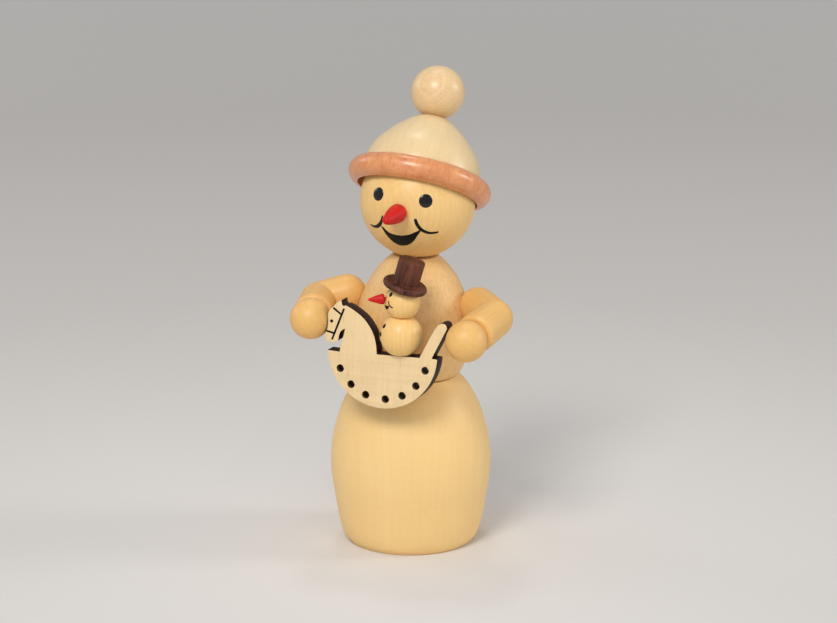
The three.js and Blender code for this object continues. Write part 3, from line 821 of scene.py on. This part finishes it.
def plate(name, outline, holes, depth, edge):
    """A flat plate between z = -depth and 0, from an outline and its holes, with a small bevel."""
    data = bpy.data.curves.new(name, "CURVE")
    data.dimensions = "2D"
    data.fill_mode = "BOTH"
    data.extrude = (depth / 2 - edge) * MM
    data.bevel_depth = edge * MM
    data.bevel_resolution = 1
    data.offset = -edge * MM
    for line in [outline, *holes]:
        spline = data.splines.new("POLY")
        spline.points.add(len(line) - 1)
        for point, (x, y) in zip(spline.points, line):
            point.co = (x * MM, y * MM, 0, 1)
        spline.use_cyclic_u = True
    piece = bpy.data.objects.new(name, data)
    bpy.context.scene.collection.objects.link(piece)
    bpy.context.view_layer.update()
    evaluated = piece.evaluated_get(bpy.context.evaluated_depsgraph_get())
    mesh = bpy.data.meshes.new_from_object(evaluated)
    bpy.data.objects.remove(piece)
    bm = bmesh.new()
    bm.from_mesh(mesh)
    bmesh.ops.translate(bm, verts=bm.verts, vec=(0, 0, -depth / 2 * MM))
    bmesh.ops.scale(bm, verts=bm.verts, vec=(1 / MM, 1 / MM, 1 / MM))
    return finished(name, bm, sharp=20)


def strip(points, widths, steps=8):
    """The outline of a band along a line, with round ends and its widths spaced evenly along it."""
    line = [Vector(p) for p in points]
    spaced = np.linspace(0, len(line) - 1, len(widths))
    left, right = [], []
    for i, point in enumerate(line):
        along = (line[min(i + 1, len(line) - 1)] - line[max(i - 1, 0)]).normalized()
        side = Vector((-along.y, along.x)) * float(np.interp(i, spaced, widths)) / 2
        left.append(point + side)
        right.append(point - side)
    caps = []
    for centre, start in ((line[-1], left[-1]), (line[0], right[0])):
        spoke = start - centre
        turns = [-math.pi * step / steps for step in range(1, steps)]
        caps.append([centre + Vector((spoke.x * math.cos(a) - spoke.y * math.sin(a),
                                      spoke.x * math.sin(a) + spoke.y * math.cos(a))) for a in turns])
    return [tuple(p) for p in [*left, *caps[0], *reversed(right), *caps[1]]]


def burnt_tool(name, outline):
    """A cutter that engraves an outline a little way into the horse's front face."""
    tool = plate(name, outline, [], BURN_DEPTH * 2, 0.0)
    tool.data.transform(Matrix.Translation((0, 0, BURN_DEPTH * MM)))
    tool.data.materials.append(MATERIALS["burnt"])
    return tool


def make_horse():
    pitch = ROCKER_HOLES["pitch_radius"]
    centres = [
        arc(ROCKER_HOLES["centre"], pitch, angle, angle, 1)[0] for angle in ROCKER_HOLES["angles"]
    ]
    rings = [arc(centre, ROCKER_HOLES["radius"], 0, 360, 32)[:-1] for centre in centres]
    horse = plate("rocking_horse_plate", horse_outline(), rings, HORSE["thickness"], HORSE["edge"])
    for material in ("plywood", "char", "hole"):
        horse.data.materials.append(MATERIALS[material])
    # The walls of the holes face the middle of their own hole, and take the hole char: painted lighter
    # near the front face and darker deeper in, a painted light and shade.
    middles = [Vector((x * MM, y * MM)) for x, y in centres]
    for face in horse.data.polygons:
        wall = abs(face.normal.z) < 0.9
        near = wall and min((face.center.to_2d() - middle).length for middle in middles)
        in_hole = wall and near < ROCKER_HOLES["radius"] * HOLE_WALL * MM
        face.material_index = 2 if in_hole else int(wall)

    turn = Matrix.Rotation(math.pi / 2 - math.radians(HORSE["lean"]), 4, "X")
    horse.matrix_world = turn
    low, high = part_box("rocking_horse")
    mine_low, mine_high = corners_of(horse)
    horse.location = (low + high) / 2 - (mine_low + mine_high) / 2
    bpy.context.view_layer.update()

    marks = [strip(line, BRIDLE_WIDTHS) for line in BRIDLE]
    marks.append(arc(HORSE_EYE["centre"], HORSE_EYE["radius"], 0, 360, 24)[:-1])
    for number, outline in enumerate(marks):
        tool = burnt_tool(f"mark_{number}", outline)
        tool.matrix_world = horse.matrix_world
        cut(horse, tool, sharp=20)
    drill(horse, "toy_seat_pin", *DOWELS["toy_seat_pin"])
    return part(horse, "plywood", None, "rocking_horse")


# ---- The toy snowman on the horse ------------------------------------------

def make_toy():
    """The toy snowman. Returns the middles of its body's and its head's balls."""
    body = ball("toy_body_ball", **TOY_BODY, segments=SMALL_ROUND, edge=TOY_EDGE)
    settle(body, (0, 0, 1), "toy_body")
    body.location.z += NECK_CLOSING / 2 * MM
    bpy.context.view_layer.update()
    lean = math.radians(TOY_HAT_LEAN)
    hat_axis = Vector((math.sin(lean), 0, math.cos(lean)))
    brim, half = TOY_HAT["brim_radius"], TOY_HAT["brim_half"]
    edge = arc((brim - half, 0), half, -90, 90, 20)
    crown, top = TOY_HAT["crown_radius"], TOY_HAT["top"]
    profile = [(0, -half), *edge, (crown, half), (crown, top), (0, top)]
    hat = turned("toy_hat_wood", soften(profile, TOY_HAT_EDGE, sharp=40), segments=SMALL_ROUND)
    settle(hat, hat_axis, "toy_hat")

    low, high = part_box("toy_head")
    head = ball("toy_head_ball", **TOY_HEAD, segments=SMALL_ROUND, edge=TOY_EDGE)
    height = low.z + (TOY_HEAD["flat"] - NECK_CLOSING) * MM
    centre = Vector(((low.x + high.x) / 2, (low.y + high.y) / 2, height))
    place(head, centre, (0, 0, 1))
    trim(head, hat.matrix_world.translation - hat_axis * (half + SEAM) * MM, hat_axis)

    facing = math.radians(TOY_FACING)
    forward = Vector((-math.sin(facing), -math.cos(facing), 0))
    nose = settle(carrot("toy_nose_cone", TOY_NOSE, CONE), forward, "toy_nose")
    socket(head, nose.matrix_world, TOY_NOSE)
    for piece, node in ((body, "toy_seat_pin"), (body, "toy_neck_pin"), (head, "toy_neck_pin")):
        drill(piece, node, *DOWELS[node])
    middles = [piece.matrix_world.translation.copy() for piece in (body, head)]
    part(body, "toy_wood", MATERIALS["toy"], "toy_body")
    part(head, "toy_wood", MATERIALS["toy"], "toy_head")
    part(hat, "toy_hat_stain", MATERIALS["toy_hat"], "toy_hat")
    part(nose, "red_stain", MATERIALS["red"], "toy_nose")
    return middles


# ---- Painted features ------------------------------------------------------

def direction(azimuth, latitude):
    """The unit vector of a place on a ball, azimuth 0 towards -Y."""
    a, b = math.radians(azimuth), math.radians(latitude)
    return Vector((math.sin(a) * math.cos(b), -math.cos(a) * math.cos(b), math.sin(b)))


def tangent_frame(middle):
    """Sideways and upward unit vectors on a ball at a direction."""
    sideways = Vector((0, 0, 1)).cross(middle).normalized()
    return sideways, middle.cross(sideways)


def flatten(places, middle, radius):
    """Places on a ball as distances in the plane that touches it at a middle direction."""
    sideways, upward = tangent_frame(middle)
    flat = []
    for azimuth, latitude in places:
        way = direction(azimuth, latitude)
        angle = middle.angle(way)
        off = Vector()
        if angle > 1e-6:
            off = (way - middle * math.cos(angle)).normalized() * angle * radius
        flat.append((off.dot(sideways), off.dot(upward)))
    return flat


def edge_distance(points, outline):
    """Each point's distance to a closed outline, and whether it lies inside."""
    a = np.array(outline)
    b = np.roll(a, -1, axis=0)
    p = np.array(points)[:, None, :]
    span = b - a
    along = np.clip(((p - a) * span).sum(2) / (span**2).sum(1), 0, 1)
    distance = np.linalg.norm(p - (a + along[..., None] * span), axis=2).min(1)
    crosses = (a[:, 1] > p[..., 1]) != (b[:, 1] > p[..., 1])
    with np.errstate(divide="ignore", invalid="ignore"):
        at = a[:, 0] + (p[..., 1] - a[:, 1]) * span[:, 0] / span[:, 1]
    inside = (crosses & (p[..., 0] < at)).sum(1) % 2 == 1
    return distance, inside


def film(name, base, radius, middle, outline, sizes, material="black"):
    """A film of paint on a ball: an outline in the touching plane, laid on with a rounded edge."""
    thickness, edge, step = sizes["thickness"], sizes["edge"], sizes["step"]
    ring = resample(outline, step)
    low, high = np.array(ring).min(0), np.array(ring).max(0)
    across, up = (np.arange(low[i] + step / 2, high[i], step) for i in (0, 1))
    grid = [(x, y) for x in across for y in up]
    distance, inside = edge_distance(grid, ring)
    clear = inside & (distance > step * FILM_CLEARANCE)
    kept = [point for point, fits in zip(grid, clear) if fits]
    count = len(ring)
    edges = [(i, (i + 1) % count) for i in range(count)]
    points, _, faces, *_ = delaunay_2d_cdt([Vector(p) for p in ring + kept], edges, [], 1, 1e-6)
    depth, _ = edge_distance([tuple(p) for p in points], ring)

    sideways, upward = tangent_frame(middle)
    bm = bmesh.new()
    layers = []
    for raised in (True, False):
        layer = []
        for point, d in zip(points, depth):
            rise = thickness * math.sqrt(1 - (1 - min(d / edge, 1)) ** 2) if raised else -FILM_ROOT
            way = on_ball(point, middle, sideways, upward, radius)
            layer.append(bm.verts.new(way * (radius + rise)))
        layers.append(layer)
    for face in faces:
        bm.faces.new([layers[0][i] for i in face])
        bm.faces.new([layers[1][i] for i in reversed(face)])
    open_edges = [side for side in bm.edges if len(side.link_faces) == 1]
    bmesh.ops.bridge_loops(bm, edges=open_edges)
    piece = finished(name, bm, sharp=75)
    piece.location = base
    bpy.context.view_layer.update()
    return part(piece, "black_paint", MATERIALS[material])


def on_ball(point, middle, sideways, upward, radius):
    """The direction of a point of the touching plane, wrapped onto the ball."""
    flat = sideways * point[0] + upward * point[1]
    angle = flat.length / radius
    if angle < 1e-9:
        return middle
    return middle * math.cos(angle) + flat.normalized() * math.sin(angle)


def resample(outline, step):
    """A closed outline with points at even steps."""
    made = []
    for start, end in zip(outline, [*outline[1:], outline[0]]):
        a, b = Vector(start), Vector(end)
        pieces = max(1, round((b - a).length / step))
        made.extend(tuple(a.lerp(b, i / pieces)) for i in range(pieces))
    return made


def paint_face(base):
    radius = HEAD["radius"]
    for side, spot in EYES.items():
        disc = arc((0, 0), EYE_RADIUS, 0, 360, 72)[:-1]
        film(f"eye_{side}_paint", base, radius, direction(*spot), disc, EYE_FILM, "gloss")
    middle = direction(*MOUTH_MIDDLE)
    mouth = smooth(MOUTH_TOP, 40) + smooth([MOUTH_TOP[-1], *MOUTH_BOTTOM, MOUTH_TOP[0]], 60)[1:-1]
    film("mouth_paint", base, radius, middle, flatten(mouth, middle, radius), FILM)
    for side, line in CHEEKS.items():
        middle = direction(*line[len(line) // 2])
        line = smooth(flatten(line, middle, radius), 40)
        stroke = strip(line, CHEEK_WIDTHS[side])
        film(f"cheek_{side}_paint", base, radius, middle, stroke, CHEEK_FILM)


def paint_toy(body_middle, head_middle):
    base, radius = head_middle, TOY_HEAD["radius"]
    for side, sign in (("right", -1), ("left", 1)):
        middle = direction(TOY_FACE + sign * TOY_EYE["azimuth"], TOY_EYE["latitude"])
        disc = arc((0, 0), TOY_EYE["radius"], 0, 360, 32)[:-1]
        film(f"toy_eye_{side}_paint", base, radius, middle, disc, TOY_EYE_FILM)
        line = [(TOY_FACE + sign * azimuth, latitude) for azimuth, latitude in TOY_CHEEK]
        middle = direction(*line[1])
        line = smooth(flatten(line, middle, radius), 24)
        stroke = strip(line, TOY_CHEEK_WIDTHS)
        film(f"toy_cheek_{side}_paint", base, radius, middle, stroke, TOY_CHEEK_FILM)
    lower_lip = [TOY_MOUTH[-1], *TOY_MOUTH_BOTTOM, TOY_MOUTH[0]]
    mouth = smooth(TOY_MOUTH, 24) + smooth(lower_lip, 32)[1:-1]
    mouth = [(TOY_FACE + azimuth, latitude) for azimuth, latitude in mouth]
    middle = direction(TOY_FACE, TOY_MOUTH_LATITUDE)
    film("toy_mouth_paint", base, radius, middle, flatten(mouth, middle, radius), TOY_MOUTH_FILM)
    base, radius = body_middle, TOY_BODY["radius"]
    for number, spot in enumerate(TOY_BUTTONS["places"], 1):
        disc = arc((0, 0), TOY_BUTTONS["radius"], 0, 360, 32)[:-1]
        film(f"toy_button_{number}_paint", base, radius, direction(*spot), disc, TOY_BUTTON_FILM)


# ---- Studio ----------------------------------------------------------------

CAMERA = {"azimuth": 20, "elevation": 14.8, "distance": 0.8, "lens": 140, "sensor": 36}
CAMERA_TARGET = (0.00181, 0.00066, 0.05793)
CAMERA_CLIP = (0.01, 50)
SKY = {"colour": (0.92, 0.95, 1.0, 1), "strength": 0.42}
FLOOR_REACH = 3
LIGHTS = {
    # direction towards the light, distance, size and power
    "key": ((0.0, -0.70, 0.72), 1.2, 0.42, 7.5),
    "front": ((0.4, -0.85, 0.34), 1.4, 1.6, 5.3),
    "top": ((-0.165, 0.30, 0.94), 1.3, 0.26, 1.6),
    "right": ((0.85, 0.30, 0.35), 1.3, 0.4, 3.8),
    "left": ((-0.93, 0.10, 0.36), 1.3, 0.5, 1.4),
}


def orbit(azimuth, elevation):
    """The unit vector from the figure to a place round it."""
    a, e = math.radians(azimuth), math.radians(elevation)
    return Vector((math.sin(a) * math.cos(e), -math.cos(a) * math.cos(e), math.sin(e)))


def look(obj, point, target):
    """Puts a camera or a light at a point, looking at a target."""
    obj.location = point
    obj.rotation_mode = "QUATERNION"
    obj.rotation_quaternion = (Vector(target) - Vector(point)).to_track_quat("-Z", "Y")


def make_camera():
    data = bpy.data.cameras.new("camera")
    data.lens, data.sensor_width = CAMERA["lens"], CAMERA["sensor"]
    data.clip_start, data.clip_end = CAMERA_CLIP
    camera = bpy.data.objects.new("camera", data)
    bpy.context.scene.collection.objects.link(camera)
    target = Vector(CAMERA_TARGET)
    look(camera, target + orbit(CAMERA["azimuth"], CAMERA["elevation"]) * CAMERA["distance"], target)
    bpy.context.scene.camera = camera


def make_studio():
    middle = (cad_low + cad_high) / 2
    for name, (way, distance, size, power) in LIGHTS.items():
        data = bpy.data.lights.new(name, "AREA")
        data.shape, data.size, data.energy = "DISK", size, power
        light = bpy.data.objects.new(name, data)
        bpy.context.scene.collection.objects.link(light)
        look(light, middle + Vector(way).normalized() * distance, middle)
        # The broad front light would lie as a grey sheen on the black paint.
        light.visible_glossy = name != "front"
    world = bpy.data.worlds.new("studio")
    world.use_nodes = True
    sky = world.node_tree.nodes["Background"]
    sky.inputs["Color"].default_value = SKY["colour"]
    sky.inputs["Strength"].default_value = SKY["strength"]
    bpy.context.scene.world = world
    bpy.context.scene.view_settings.view_transform = "Standard"

    bm = bmesh.new()
    bmesh.ops.create_grid(bm, x_segments=24, y_segments=24, size=FLOOR_REACH / MM)
    floor = finished("floor", bm)
    floor.data.materials.append(MATERIALS["floor"])


make_camera()
make_studio()
make_lower_body()
make_upper_body()
middle_of_head = make_head()
make_hat(middle_of_head)
for arm_side in ARMS:
    make_arm(arm_side)
make_horse()
paint_toy(*make_toy())
paint_face(middle_of_head)
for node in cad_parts.values():
    if not node.hide_render:
        node.material_slots[0].material = MATERIALS["dowel"]
